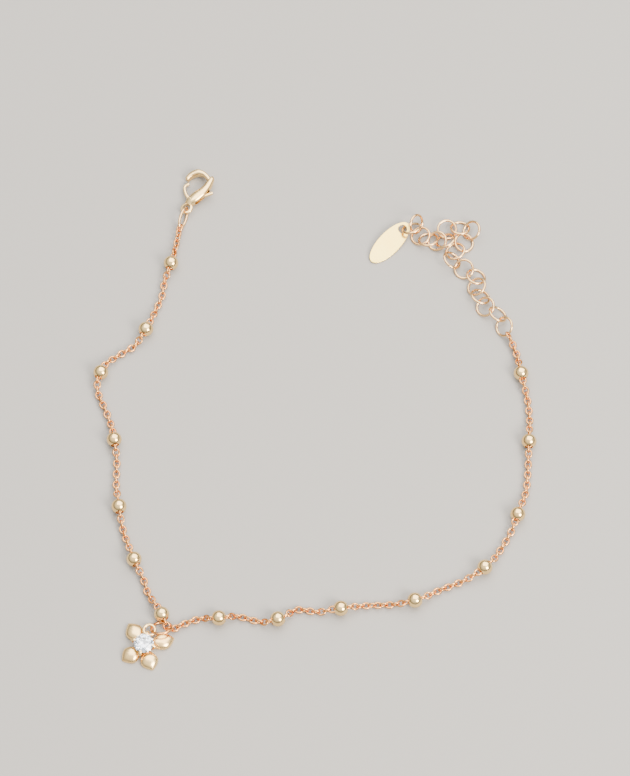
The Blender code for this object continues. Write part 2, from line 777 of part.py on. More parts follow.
def add_tag(parent, ring, ring_turn):
    """The oval end tag, its hole round the last ring and its far tip on the ground."""
    reach = (EXT_RING_DIAMETER - EXT_RING_WIRE) / 2
    toward = direction(TAG_BEARING)
    local = ring_turn.to_3x3().transposed() @ toward
    local.z = 0.0
    wire = ring + ring_turn.to_3x3() @ local.normalized() * reach
    hole_reach = TAG_LENGTH / 2 - TAG_HOLE_EDGE - TAG_HOLE / 2
    turn = lying(TAG_HEADING, tag_pitch(wire.z, hole_reach), TAG_ROLL)
    offset = turn.to_3x3() @ Vector((hole_reach, 0.0, 0.0))
    centre = wire - offset

    bm = bmesh.new()
    bmesh.ops.create_cone(bm, cap_ends=True, segments=TAG_SIDES, radius1=0.5, radius2=0.5,
                          depth=1.0)
    bmesh.ops.scale(bm, vec=(TAG_LENGTH, TAG_WIDTH, TAG_THICKNESS), verts=bm.verts)
    place = Matrix.Translation(centre) @ turn
    tag = add_object("end_tag", finish_mesh(bm, "end_tag"), "champagne_gold", parent, place)
    cutter = disc("tag_hole_cutter", TAG_HOLE / 2, 4 * TAG_THICKNESS, PIN_SIDES,
                  "champagne_gold", parent,
                  place @ Matrix.Translation((hole_reach, 0.0, 0.0)))
    combine(tag, cutter, "DIFFERENCE")


def stand_on_origin(stand):
    """Move everything so that the bottom centre of the anklet is the origin."""
    bpy.context.view_layer.update()
    shapes = bpy.context.evaluated_depsgraph_get()
    low = Vector((math.inf,) * 3)
    high = Vector((-math.inf,) * 3)
    for thing in bpy.data.objects:
        if thing.type == "EMPTY" or thing.hide_render:
            continue
        seen = thing.evaluated_get(shapes)
        mesh = seen.to_mesh()
        for vert in mesh.vertices:
            spot = seen.matrix_world @ vert.co
            low = Vector(map(min, low, spot))
            high = Vector(map(max, high, spot))
        seen.to_mesh_clear()
    stand.location = (-(low.x + high.x) / 2, -(low.y + high.y) / 2, -low.z)


def main():
    clear_scene()
    stand = bpy.data.objects.new("anklet_stand", None)
    bpy.context.collection.objects.link(stand)
    add_clasp_side(stand)
    add_chains(stand)
    add_beads(stand)
    add_charm(stand)
    add_extender(stand)
    stand_on_origin(stand)


main()
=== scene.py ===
"""Looks of the charm anklet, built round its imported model.

Every visible piece is modelled again finer than the solid that it stands for, in the same
place, and gets its own finish. The stage is a plain pale board with soft light.
"""
import json
import math

import bmesh
import bpy
import numpy
from mathutils import Matrix, Vector


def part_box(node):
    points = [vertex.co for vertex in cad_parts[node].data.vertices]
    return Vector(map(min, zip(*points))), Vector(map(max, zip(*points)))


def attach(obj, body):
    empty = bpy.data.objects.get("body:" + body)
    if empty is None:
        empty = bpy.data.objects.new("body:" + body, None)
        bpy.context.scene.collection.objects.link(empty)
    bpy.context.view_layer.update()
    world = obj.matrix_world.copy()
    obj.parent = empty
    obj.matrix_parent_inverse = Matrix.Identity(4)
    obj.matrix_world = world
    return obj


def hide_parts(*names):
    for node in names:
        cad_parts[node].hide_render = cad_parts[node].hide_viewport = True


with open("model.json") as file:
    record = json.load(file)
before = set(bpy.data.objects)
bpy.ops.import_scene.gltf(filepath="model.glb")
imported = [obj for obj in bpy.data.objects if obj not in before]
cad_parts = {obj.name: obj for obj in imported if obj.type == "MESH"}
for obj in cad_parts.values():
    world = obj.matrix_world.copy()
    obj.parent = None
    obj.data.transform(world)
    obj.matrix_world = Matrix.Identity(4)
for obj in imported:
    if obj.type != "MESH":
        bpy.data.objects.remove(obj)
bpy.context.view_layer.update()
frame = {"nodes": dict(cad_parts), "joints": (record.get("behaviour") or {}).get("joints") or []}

bl_info = {
    "name": "Charm anklet",
    "version": (1, 0, 0),
    "blender": (4, 5, 0),
    "location": "View3D > Sidebar > Anklet",
    "description": "Builds the looks of a beaded chain anklet round its packed model",
    "category": "Add Mesh",
}

MM = 0.001
ANKLET, LEVER = "anklet", "lever"
UP = Vector((0.0, 0.0, 1.0))

# Where the chain lies: piece, x and y in millimetres, and lift above its resting height
ROUTE = (
    ("chain", -27.8, 34.2, 0.5),
    ("chain", -28.4, 31.0, 0.1),
    ("bead", -29.2, 27.3, 0.0),
    ("chain", -30.5, 23.4, 0.0),
    ("chain", -30.9, 20.2, 0.0),
    ("chain", -32.2, 16.8, 0.0),
    ("bead", -34.0, 12.4, 0.0),
    ("chain", -36.3, 8.9, 0.0),
    ("chain", -39.6, 6.7, 0.0),
    ("bead", -42.8, 2.8, 0.0),
    ("chain", -43.2, -1.8, 0.0),
    ("chain", -41.7, -5.2, 0.0),
    ("chain", -40.6, -8.3, 0.0),
    ("bead", -39.8, -11.9, 0.0),
    ("chain", -39.2, -16.2, 0.0),
    ("chain", -39.2, -21.3, 0.0),
    ("bead", -38.5, -26.3, 0.0),
    ("chain", -37.6, -31.2, 0.0),
    ("bead", -35.3, -37.5, 0.0),
    ("chain", -33.4, -41.4, 0.0),
    ("chain", -32.4, -44.6, 0.0),
    ("bead", -29.7, -49.0, 0.0),
    ("chain", -28.9, -51.2, 0.45),
    ("chain", -28.1, -52.0, 0.0),
    ("chain", -27.0, -51.6, 0.0),
    ("chain", -25.0, -50.6, 0.0),
    ("chain", -21.9, -49.6, 0.0),
    ("bead", -18.6, -49.8, 0.0),
    ("chain", -15.4, -49.1, 0.0),
    ("chain", -10.9, -50.3, 0.0),
    ("bead", -7.2, -50.0, 0.0),
    ("chain", -3.8, -47.8, 0.0),
    ("chain", 0.6, -48.3, 0.0),
    ("bead", 5.0, -47.8, 0.0),
    ("chain", 9.6, -47.0, 0.0),
    ("chain", 14.5, -46.8, 0.0),
    ("bead", 19.4, -46.1, 0.0),
    ("chain", 23.9, -43.9, 0.0),
    ("chain", 28.3, -42.1, 0.0),
    ("bead", 33.1, -39.2, 0.0),
    ("chain", 36.2, -35.4, 0.0),
    ("chain", 38.3, -31.8, 0.0),
    ("bead", 39.8, -28.0, 0.0),
    ("chain", 41.6, -22.8, 0.0),
    ("chain", 42.1, -17.8, 0.0),
    ("bead", 42.4, -12.3, 0.0),
    ("chain", 42.7, -7.0, 0.0),
    ("chain", 42.3, -2.4, 0.0),
    ("bead", 41.2, 2.6, 0.0),
    ("chain", 40.5, 7.0, 0.1),
    ("chain", 39.4, 9.8, 0.6),
)
CHAIN_GIRTH = 1.2 * MM
LINE_STEP = 0.4 * MM
# The chain runs straight through a bead, this far to each side of the bead's centre
BEAD_STRAIGHT = 1.6 * MM
BEAD_COUNT = sum(row[0] == "bead" for row in ROUTE)
# The two runs of chain meet inside this bead, counted from the clasp
SEAM_BEAD = 8
BEAD_MOUTH_BEVEL = 0.06 * MM

# Links: their sway along the chain and the turn of the first one, in degrees, then how far
# they ride above the chain's line and the least gap that they keep to the board
LINK_SWAY = 6.0
FIRST_LINK_TURN = 128.0
LINK_LIFT = 0.06 * MM
BOARD_GAP = 0.01 * MM

# Points closer than this become one, after a union or a cut and where a bead's spin closes
WELD = 0.002 * MM
SPIN_WELD = 0.0001 * MM

# How the clasp lies, in degrees: where its top points, and its roll about its own length
CLASP_HEADING = 74.5
CLASP_ROLL = 12.0
# Roundness of a limb's section: 1 is an ellipse, and 0 would be a box
CLAW_ROUNDNESS = 0.75
LEVER_ROUNDNESS = 0.55
LIMB_STEPS = 5

# Clasp from above, its eye at the origin: across, along, width and thickness. The first
# three are shares of the clasp's length and the last is a share of its thickness. The
# lever is a flat plate, so its rows have no thickness.
CLASP_ARM = (
    (0.004, 0.085, 0.140, 0.60),
    (0.034, 0.150, 0.175, 0.90),
    (0.088, 0.220, 0.212, 1.00),
    (0.140, 0.290, 0.212, 1.00),
    (0.203, 0.375, 0.192, 0.95),
    (0.259, 0.485, 0.153, 0.85),
    (0.288, 0.600, 0.128, 0.75),
    (0.304, 0.690, 0.100, 0.62),
    (0.307, 0.740, 0.060, 0.44),
    (0.306, 0.757, 0.022, 0.20),
)
CLASP_HOOK = (
    (0.288, 0.650, 0.075, 0.52),
    (0.214, 0.722, 0.086, 0.66),
    (0.115, 0.782, 0.098, 0.78),
    (0.000, 0.795, 0.128, 0.85),
    (-0.088, 0.747, 0.118, 0.82),
    (-0.149, 0.675, 0.100, 0.74),
    (-0.174, 0.613, 0.076, 0.62),
    (-0.179, 0.600, 0.040, 0.34),
)
LEVER_GATE = (
    (0.028, 0.192, 0.060),
    (-0.045, 0.235, 0.062),
    (-0.122, 0.318, 0.056),
    (-0.174, 0.426, 0.049),
    (-0.167, 0.482, 0.052),
    (-0.129, 0.519, 0.066),
    (-0.109, 0.530, 0.036),
)
LEVER_NIB = (
    (0.028, 0.192, 0.066),
    (0.150, 0.258, 0.070),
    (0.285, 0.335, 0.060),
    (0.368, 0.385, 0.064),
    (0.404, 0.405, 0.050),
    (0.413, 0.411, 0.020),
)
PIVOT = (0.028, 0.192)
SLOT_FOOT = 0.125
SLOT_HEAD = 0.458
EYE_ROUNDING = 0.2 * MM
RIVET_RADIUS = 0.42 * MM
# The rivet is a ball stretched until its two domes stand out of the cheeks
RIVET_STRETCH = 2.5
HUB_WALL = 0.25 * MM

# Petals: bearing from the stone and length as a share of the longest
PETALS = ((123, 0.95), (17, 1.00), (290, 0.84), (214, 0.84))
# Sections of a petal: place along it, width and height, as shares of its sizes
PETAL_SECTIONS = (
    (0.22, 0.36, 0.70),
    (0.40, 0.74, 0.95),
    (0.56, 0.97, 1.00),
    (0.70, 0.97, 0.92),
    (0.83, 0.72, 0.74),
    (0.93, 0.38, 0.50),
    (0.99, 0.12, 0.30),
    (1.00, 0.04, 0.22),
)
# Where a petal's dome starts, as a share of its height, and its foot's share of its width
PETAL_EDGE = 0.22
PETAL_FOOT = 0.9

# The charm's loop: bearing from the stone, distance from the stone's rim to its middle,
# outer width and wire
LOOP_BEARING = 72.0
LOOP_REACH = 1.25 * MM
LOOP_WIDTH = 2.75 * MM
LOOP_WIRE = 0.58 * MM

# The stone's seat: height of the stone's point, room round the stone, how far the collar
# ends below the girdle and is tucked in, and its foot as a share of its mouth
STONE_BACK = 0.45 * MM
STONE_CLEARANCE = 0.15 * MM
COLLAR_DROP = 0.075 * MM
COLLAR_TUCK = 0.12 * MM
COLLAR_FOOT = 0.62
SEAT_POINT = 0.05 * MM

# Sections of a prong. Up to the girdle: shares of its full reach, of the girdle's height
# and of its radius. Above: how far it leans in, in radii, then shares of the crown's height
# and of its radius.
PRONG_RADIUS = 0.33 * MM
PRONG_GAP = 0.05 * MM
PRONG_STEM = ((0.55, 0.12, 0.90), (0.84, 0.55, 0.90), (1.00, 0.90, 0.90))
PRONG_TIP = (
    (0.05, 0.20, 1.00),
    (0.75, 0.65, 0.95),
    (1.35, 0.90, 0.70),
    (1.60, 0.97, 0.40),
    (1.65, 0.99, 0.12),
)

# The stone's cut. The heights are shares of its diameter and the reaches are shares of its
# radius. The leans are shares of the main facets' angle, but the last one is in degrees.
PAVILION = 0.43
CROWN = 0.15
GIRDLE_BAND = 0.02
TABLE_REACH = 0.56
STAR_REACH, STAR_LEAN = 0.515, 0.62
RIM_REACH, RIM_LEAN = 0.985, 1.22
LOWER_LEAN = 2.2

# Bearings of the rings' splits, in degrees: each extender ring's is this much further on
SPLIT_TURN = 137.5
CHARM_RING_SPLIT_AT = 200.0
CHARM_RING_SPLIT = 0.05 * MM
TAG_ROUNDING = 0.07 * MM

# The stage in metres: half the board's side, then each soft box by its name, place, side,
# power in watts and colour
BOARD_REACH = 1.5
LIGHTS = (
    ("overhead", (0.10, 0.30, 0.62), 0.90, 14.0, "FFF9F0"),
    ("key", (0.40, -0.36, 0.46), 0.32, 10.5, "FFF6EA"),
)


def linear(code):
    """An sRGB hex colour as the linear values that a shader takes."""
    parts = [int(code[i:i + 2], 16) / 255 for i in (0, 2, 4)]
    return tuple(p / 12.92 if p <= 0.04045 else ((p + 0.055) / 1.055) ** 2.4 for p in parts)


def length_setting(name, millimetres, text):
    """A length that the panel shows, given in millimetres."""
    return bpy.props.FloatProperty(name=name, description=text, default=millimetres * MM,
                                   min=0.0, precision=5, unit="LENGTH")


def colour_setting(name, code, text):
    """A colour that the panel shows, given as an sRGB hex colour."""
    return bpy.props.FloatVectorProperty(name=name, description=text, default=linear(code),
                                         size=3, min=0.0, max=1.0, subtype="COLOR")


class ChainSettings(bpy.types.PropertyGroup):
    link_length: length_setting("Link length", 1.95, "Outer length of a chain link")
    link_width: length_setting("Link width", 1.6, "Outer width of a chain link")
    wire: length_setting("Wire", 0.4, "Thickness of the chain's wire")
    colour: colour_setting("Colour", "E9AA66", "Colour of the chain's plating")


class BeadSettings(bpy.types.PropertyGroup):
    diameter: length_setting("Diameter", 3.0, "Diameter of a bead")
    mouth: length_setting("Hole", 1.5, "Diameter of the hole at each end of a bead")
    wall: length_setting("Wall", 0.28, "Thickness of a bead's shell")
    colour: colour_setting("Colour", "F8D898", "Colour of the beads' plating")


class ClaspSettings(bpy.types.PropertyGroup):
    length: length_setting("Length", 10.7, "Length of the clasp with its eye")
    thickness: length_setting("Thickness", 2.0, "Thickness of the clasp")
    eye_hole: length_setting("Eye hole", 1.7, "Hole that the oval ring goes through")
    eye_wall: length_setting("Eye wall", 0.45, "Width of the metal round the eye")
    eye_thickness: length_setting("Eye thickness", 0.6, "Thickness of the eye")
    slot: length_setting("Slot", 0.7, "Gap between the two cheeks")
    lever: length_setting("Lever", 0.5, "Thickness of the lever")
    ring_length: length_setting("Ring length", 5.1, "Length of the ring behind the clasp")
    ring_width: length_setting("Ring width", 2.5, "Width of the ring behind the clasp")
    ring_wire: length_setting("Ring wire", 0.55, "Wire of the ring behind the clasp")


class CharmSettings(bpy.types.PropertyGroup):
    petal_length: length_setting("Petal length", 6.0, "From the stone's centre to the tip")
    petal_width: length_setting("Petal width", 3.5, "Width of a petal")
    petal_height: length_setting("Petal height", 1.4, "Height of a petal")
    stone: length_setting("Stone", 3.9, "Diameter of the cut stone")
    ring: length_setting("Ring", 4.46, "Outer diameter of the charm's ring")
    ring_wire: length_setting("Ring wire", 0.52, "Wire of the charm's ring")
    colour: colour_setting("Colour", "FDDC9A", "Colour of the flower's plating")


class ExtenderSettings(bpy.types.PropertyGroup):
    ring: length_setting("Ring", 4.24, "Outer diameter of an extender ring")
    wire: length_setting("Wire", 0.5, "Wire of an extender ring")
    gap: length_setting("Split", 0.06, "Gap where a ring was closed")
    colour: colour_setting("Colour", "F6CD92", "Colour of the rings' plating")
    tag_length: length_setting("Tag length", 11.3, "Length of the end tag")
    tag_width: length_setting("Tag width", 4.5, "Width of the end tag")
    tag_thickness: length_setting("Tag thickness", 0.3, "Thickness of the end tag")
    tag_hole: length_setting("Tag hole", 1.8, "Hole in the end tag")
    tag_edge: length_setting("Tag hole edge", 0.8, "From the hole to the tag's end")
    tag_colour: colour_setting("Tag colour", "FEE280", "Colour of the tag's plating")


class StageSettings(bpy.types.PropertyGroup):
    board: colour_setting("Board", "9A9895", "Colour of the board")
    distance: length_setting("Camera distance", 700.0, "From the camera to the anklet")
    elevation: bpy.props.FloatProperty(
        name="Camera height", description="Angle of the camera above the board",
        default=math.radians(65.0), subtype="ANGLE")
    lens: bpy.props.FloatProperty(
        name="Lens", description="Focal length in millimetres", default=162.4)


# Materials


def add_node(tree, kind, settings, links=()):
    """One node with its settings, which are sockets or properties, and its links."""
    made = tree.nodes.new(kind)
    for key, value in settings.items():
        if isinstance(key, int) or key in made.inputs:
            made.inputs[key].default_value = value
        else:
            setattr(made, key, value)
    for key, source in dict(links).items():
        tree.links.new(source, made.inputs[key])
    return made


def per(millimetres):
    """The noise scale with patches that many millimetres across."""
    return 1.0 / (millimetres * MM)


def new_material(name):
    """A material and its node tree, or no tree if the material was there already."""
    made = bpy.data.materials.get(name)
    if made:
        return made, None
    made = bpy.data.materials.new(name)
    made.use_nodes = True
    return made, made.node_tree


def plated_brass(name, colour, deeper, roughness, polish_mm=0.5, bump=0.06):
    """Brass under a thin polished gold plate. The plate's tone drifts a little and its
    polish has faint buffing marks, so the highlights break up softly."""
    made, tree = new_material(name)
    if tree is None:
        return made
    shader = tree.nodes["Principled BSDF"]
    shader.inputs["Metallic"].default_value = 1.0
    where = add_node(tree, "ShaderNodeTexCoord", {}).outputs["Object"]
    drift = add_node(tree, "ShaderNodeTexNoise", {"Scale": per(3.0), "Detail": 2.0},
                     {"Vector": where})
    patches = add_node(tree, "ShaderNodeMapRange", {"From Min": 0.35, "From Max": 0.75},
                       {"Value": drift.outputs["Fac"]})
    tone = add_node(tree, "ShaderNodeMix",
                    {"data_type": "RGBA", 6: (*colour, 1.0), 7: (*deeper, 1.0)},
                    {0: patches.outputs["Result"]})
    tree.links.new(tone.outputs[2], shader.inputs["Base Color"])
    buffing = add_node(tree, "ShaderNodeTexNoise",
                       {"Scale": per(polish_mm), "Detail": 5.0, "Roughness": 0.6},
                       {"Vector": where})
    shine = add_node(tree, "ShaderNodeMapRange",
                     {"From Min": 0.3, "From Max": 0.7, "To Min": 0.75 * roughness,
                      "To Max": 1.35 * roughness}, {"Value": buffing.outputs["Fac"]})
    tree.links.new(shine.outputs["Result"], shader.inputs["Roughness"])
    relief = add_node(tree, "ShaderNodeBump", {"Strength": bump, "Distance": 0.02 * MM},
                      {"Height": buffing.outputs["Fac"]})
    tree.links.new(relief.outputs["Normal"], shader.inputs["Normal"])
    return made


def cubic_zirconia():
    """A clear synthetic stone, cut and polished. Its high index throws the light back up
    through the crown, with a faint cool tint."""
    made, tree = new_material("cut_cubic_zirconia")
    if tree is None:
        return made
    shader = tree.nodes["Principled BSDF"]
    shader.inputs["Transmission Weight"].default_value = 1.0
    shader.inputs["IOR"].default_value = 2.15
    where = add_node(tree, "ShaderNodeTexCoord", {}).outputs["Object"]
    haze = add_node(tree, "ShaderNodeTexNoise", {"Scale": per(0.6), "Detail": 2.0},
                    {"Vector": where})
    tint = add_node(tree, "ShaderNodeMix",
                    {"data_type": "RGBA", 6: (*linear("F4F9FF"), 1.0),
                     7: (*linear("DCEBFF"), 1.0)}, {0: haze.outputs["Fac"]})
    tree.links.new(tint.outputs[2], shader.inputs["Base Color"])
    polish = add_node(tree, "ShaderNodeMapRange", {"To Min": 0.0, "To Max": 0.03},
                      {"Value": haze.outputs["Fac"]})
    tree.links.new(polish.outputs["Result"], shader.inputs["Roughness"])
    return made


def matt_board(colour):
    """Matt coated board, pale and plain, with a grain too fine to draw the eye."""
    made, tree = new_material("matt_coated_board")
    if tree is None:
        return made
    shader = tree.nodes["Principled BSDF"]
    shader.inputs["Base Color"].default_value = (*colour, 1.0)
    where = add_node(tree, "ShaderNodeTexCoord", {}).outputs["Object"]
    grain = add_node(tree, "ShaderNodeTexNoise", {"Scale": per(0.8), "Detail": 3.0},
                     {"Vector": where})
    matt = add_node(tree, "ShaderNodeMapRange", {"To Min": 0.75, "To Max": 0.9},
                    {"Value": grain.outputs["Fac"]})
    tree.links.new(matt.outputs["Result"], shader.inputs["Roughness"])
    return made


def darker(colour, share):
    """The same plate where it is a little thinner and redder."""
    tones = (share + 0.08, share, share - 0.08)
    return tuple(value * tone for value, tone in zip(colour, tones))


def chain_look():
    """The rose gold of the chain and of the charm's ring."""
    colour = bpy.context.scene.anklet_chain.colour
    return plated_brass("rose_gold_plated_chain", colour, darker(colour, 0.84), 0.17,
                        polish_mm=0.3)


def ring_look():
    """The paler rose gold of the extender's rings and of the clasp's ring."""
    colour = bpy.context.scene.anklet_extender.colour
    return plated_brass("pale_rose_gold_ring_wire", colour, darker(colour, 0.84), 0.14,
                        polish_mm=0.4)


# Shapes


def new_piece(name, bm, look, body, nodes, smooth=38.0):
    """A finished mesh as a piece that rides on a body and stands for its solids. It is
    shaded smooth apart from creases above an angle in degrees."""
    bmesh.ops.recalc_face_normals(bm, faces=bm.faces)
    mesh = bpy.data.meshes.new(name)
    bm.to_mesh(mesh)
    bm.free()
    if smooth:
        mesh.shade_smooth()
        mesh.set_sharp_from_angle(angle=math.radians(smooth))
    mesh.materials.append(look)
    piece = bpy.data.objects.new(name, mesh)
    bpy.context.scene.collection.objects.link(piece)
    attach(piece, body)
    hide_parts(*nodes)


def curve_point(before, start, end, after, share):
    """A point on the Catmull-Rom curve from start to end."""
    square, cube = share * share, share * share * share
    return 0.5 * (2 * start + (end - before) * share
                  + (2 * before - 5 * start + 4 * end - after) * square
                  + (3 * start - before - 3 * end + after) * cube)


def eased(rows, steps):
    """A table of rows with more rows between them on a smooth curve."""
    rows = [Vector(row) for row in rows]
    made = [rows[0]]
    for index in range(len(rows) - 1):
        before, after = rows[max(index - 1, 0)], rows[min(index + 2, len(rows) - 1)]
        made += [curve_point(before, rows[index], rows[index + 1], after, step / steps)
                 for step in range(1, steps + 1)]
    return made


def loft(bm, loops, closed=False):
    """Skin a row of closed loops of points, and close its ends or join them."""
    rings = []
    for points in loops:
        verts = [bm.verts.new(point) for point in points]
        rings.append([bm.edges.new(pair) for pair in zip(verts, verts[1:] + verts[:1])])
    for near, far in zip(rings, rings[1:] + (rings[:1] if closed else [])):
        bmesh.ops.bridge_loops(bm, edges=near + far)
    if not closed:
        for end in (rings[0], rings[-1]):
            bmesh.ops.edgeloop_fill(bm, edges=end)


def wire_ring(length, width, wire, gap=0.0, stations=44, sides=10):
    """A ring of round wire in the XY plane by its outer sizes, split at +X by a gap."""
    bm = bmesh.new()
    far, near = (length - wire) / 2, (width - wire) / 2
    opening = gap / far
    loops = []
    for step in range(stations):
        share = step / (stations - 1) if gap else step / stations
        angle = opening / 2 + (2 * math.pi - opening) * share
        place = Vector((far * math.cos(angle), near * math.sin(angle), 0.0))
        outward = Vector((near * math.cos(angle), far * math.sin(angle), 0.0)).normalized()
        loops.append([place + (outward * math.cos(turn) + UP * math.sin(turn)) * wire / 2
                      for turn in (2 * math.pi * (n + 0.5) / sides for n in range(sides))])
    loft(bm, loops, closed=not gap)
    return bm


def ring_place(node, spin=0.0, oval=False):
    """Attitude of a ring-shaped solid: Z is its axis, and X is level or along the oval."""
    spots = numpy.array([vert.co for vert in frame["nodes"][node].data.vertices])
    spots = numpy.unique(spots.round(7), axis=0)
    centre = spots.mean(axis=0)
    ways = numpy.linalg.svd(spots - centre, full_matrices=False)[2]
    axis = Vector(ways[2])
    axis = axis if axis.z > 0 else -axis
    along = Vector(ways[0]) if oval else UP.cross(axis)
    along = along if along.y > 0 else -along
    along = (along - axis * along.dot(axis)).normalized()
    turn = Matrix((along, axis.cross(along), axis)).transposed().to_4x4()
    return Matrix.Translation(centre) @ turn @ Matrix.Rotation(math.radians(spin), 4, "Z")


def moved(bm, place):
    """The same bmesh after a move."""
    bmesh.ops.transform(bm, matrix=place, verts=bm.verts)
    return bm


def scratch_object(bm):
    """A throwaway object for a union or a cut."""
    bmesh.ops.recalc_face_normals(bm, faces=bm.faces)
    mesh = bpy.data.meshes.new("scratch")
    bm.to_mesh(mesh)
    bm.free()
    thing = bpy.data.objects.new("scratch", mesh)
    bpy.context.scene.collection.objects.link(thing)
    return thing


def shaped(base, steps):
    """The base after a row of exact unions and cuts, as a new bmesh."""
    body = scratch_object(base)
    tools = []
    for operation, tool in steps:
        tools.append(scratch_object(tool))
        step = body.modifiers.new("step", "BOOLEAN")
        step.operation, step.solver, step.object = operation, "EXACT", tools[-1]
    bpy.context.view_layer.update()
    result = body.evaluated_get(bpy.context.evaluated_depsgraph_get())
    made = bmesh.new()
    made.from_mesh(result.to_mesh())
    for thing in [body] + tools:
        bpy.data.objects.remove(thing, do_unlink=True)
    bmesh.ops.remove_doubles(made, verts=made.verts, dist=WELD)
    return made


def turned(height, radius, sides=40, place=Matrix()):
    """A plain round blank for a cut or a union."""
    bm = bmesh.new()
    bmesh.ops.create_cone(bm, cap_ends=True, segments=sides, radius1=radius, radius2=radius,
                          depth=height)
    return moved(bm, place)


def round_rims(bm, offset, segments):
    """Round each edge where two faces meet at more than a radian."""
    rims = [edge for edge in bm.edges
            if len(edge.link_faces) == 2 and edge.calc_face_angle(0.0) > 1.0]
    bmesh.ops.bevel(bm, geom=rims, offset=offset, affect="EDGES", segments=segments,
                    profile=0.5, material=-1)


# Chain and beads


def route_origin():
    """Where the zero of the route table lies in the model, found from the first bead."""
    low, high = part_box("bead_01")
    first = next(row for row in ROUTE if row[0] == "bead")
    return (low + high) / 2 - Vector((first[1] * MM, first[2] * MM, 0.0))


def route_frame():
    """Route points in the model's frame, and each bead's centre and direction."""
    bead_rows = [i for i, row in enumerate(ROUTE) if row[0] == "bead"]
    shift = route_origin()
    rest = {"bead": bpy.context.scene.anklet_beads.diameter / 2, "chain": CHAIN_GIRTH / 2}
    points = [Vector((x * MM + shift.x, y * MM + shift.y, rest[piece] + lift * MM))
              for piece, x, y, lift in ROUTE]
    beads = []
    for row in bead_rows:
        way = points[row + 1] - points[row - 1]
        way.z = 0.0
        beads.append((points[row], way.normalized()))
    return points, beads


def chain_stretches():
    """The chain's centreline as one dense line from bead to bead, ends included."""
    points, beads = route_frame()
    knots, gaps = [], []
    left = iter(beads)
    for row, point in zip(ROUTE, points):
        if row[0] == "bead":
            centre, way = next(left)
            gaps.append(len(knots))
            knots += [centre - way * BEAD_STRAIGHT, centre + way * BEAD_STRAIGHT]
        else:
            knots.append(point)
    stretches, line = [], [knots[0]]
    for index in range(len(knots) - 1):
        if index in gaps:
            stretches.append(line)
            line = [knots[index + 1]]
            continue
        start, end = knots[index], knots[index + 1]
        before, after = knots[max(index - 1, 0)], knots[min(index + 2, len(knots) - 1)]
        steps = max(2, round((end - start).length / LINE_STEP))
        for step in range(1, steps + 1):
            spot = curve_point(before, start, end, after, step / steps)
            spot.z = max(spot.z, CHAIN_GIRTH / 2)
            line.append(spot)
    return stretches + [line], beads


def evenly(line, pitch):
    """Points at equal steps of at most a pitch along a line of points."""
    reach = [0.0]
    for near, far in zip(line, line[1:]):
        reach.append(reach[-1] + (far - near).length)
    count = math.ceil(reach[-1] / pitch)
    made, index = [], 0
    for step in range(count + 1):
        want = reach[-1] * step / count
        while index < len(line) - 2 and reach[index + 1] < want:
            index += 1
        share = (want - reach[index]) / (reach[index + 1] - reach[index])
        made.append(line[index].lerp(line[index + 1], share))
    return made


def link_places(joints, rolls, wire, width):
    """One place for each link between two joints, resting on or above the board."""
    made = []
    for near, far, roll in zip(joints, joints[1:], rolls):
        along = (far - near).normalized()
        level = UP.cross(along).normalized()
        across = level * math.cos(roll) + along.cross(level) * math.sin(roll)
        centre = (near + far) / 2
        centre.z = max(centre.z + LINK_LIFT,
                       wire / 2 + (width - wire) / 2 * abs(across.z) + BOARD_GAP)
        turn = Matrix((along, across, along.cross(across))).transposed().to_4x4()
        made.append(Matrix.Translation(centre) @ turn)
    return made


def link_rolls(count, first):
    """Links turned a quarter against each other, with a slow sway along the chain."""
    return [math.radians(first + 90.0 * n + LINK_SWAY * math.sin(0.9 * n))
            for n in range(count)]


class ANKLET_OT_chain(bpy.types.Operator):
    """Fine cable chain of interlocked oval links, in two runs that meet inside a bead"""
    bl_idname = "anklet.chain"
    bl_label = "Chain"

    def execute(self, context):
        size = context.scene.anklet_chain
        bm = wire_ring(size.link_length, size.link_width, size.wire, stations=14, sides=6)
        link = bpy.data.meshes.new("chain_link")
        bm.to_mesh(link)
        bm.free()
        pitch = size.link_length - 2 * size.wire
        stretches, beads = chain_stretches()
        ends = [ring_place("end_link_clasp_side", oval=True),
                ring_place("end_link_extender_side", oval=True)]
        hook = size.link_length / 2 - size.wire
        tips = [end.translation - end.col[0].to_3d() * hook for end in ends]
        runs = [[ends[0]], [ends[1]]]
        for index, line in enumerate(stretches):
            first = LINK_SWAY * math.sin(2.3 * index)
            if index > 0:
                centre, way = beads[index - 1]
                line = [centre, centre + way * pitch] + line
            else:
                line = [tips[0]] + line
                first = FIRST_LINK_TURN
            if index < BEAD_COUNT:
                centre, way = beads[index]
                line += [centre - way * pitch, centre]
            else:
                line += [tips[1]]
            joints = evenly(line, pitch)
            rolls = link_rolls(len(joints) - 1, first)
            run = runs[0] if index < SEAM_BEAD else runs[1]
            run += link_places(joints, rolls, size.wire, size.link_width)
        for side, places in zip(("clasp_side", "extender_side"), runs):
            bm = bmesh.new()
            for place in places:
                start = len(bm.verts)
                bm.from_mesh(link)
                bm.verts.ensure_lookup_table()
                bmesh.ops.transform(bm, matrix=place, verts=bm.verts[start:])
            new_piece(f"chain_links_{side}", bm, chain_look(), ANKLET,
                      [f"chain_{side}", f"end_link_{side}"], smooth=180.0)
        return {"FINISHED"}


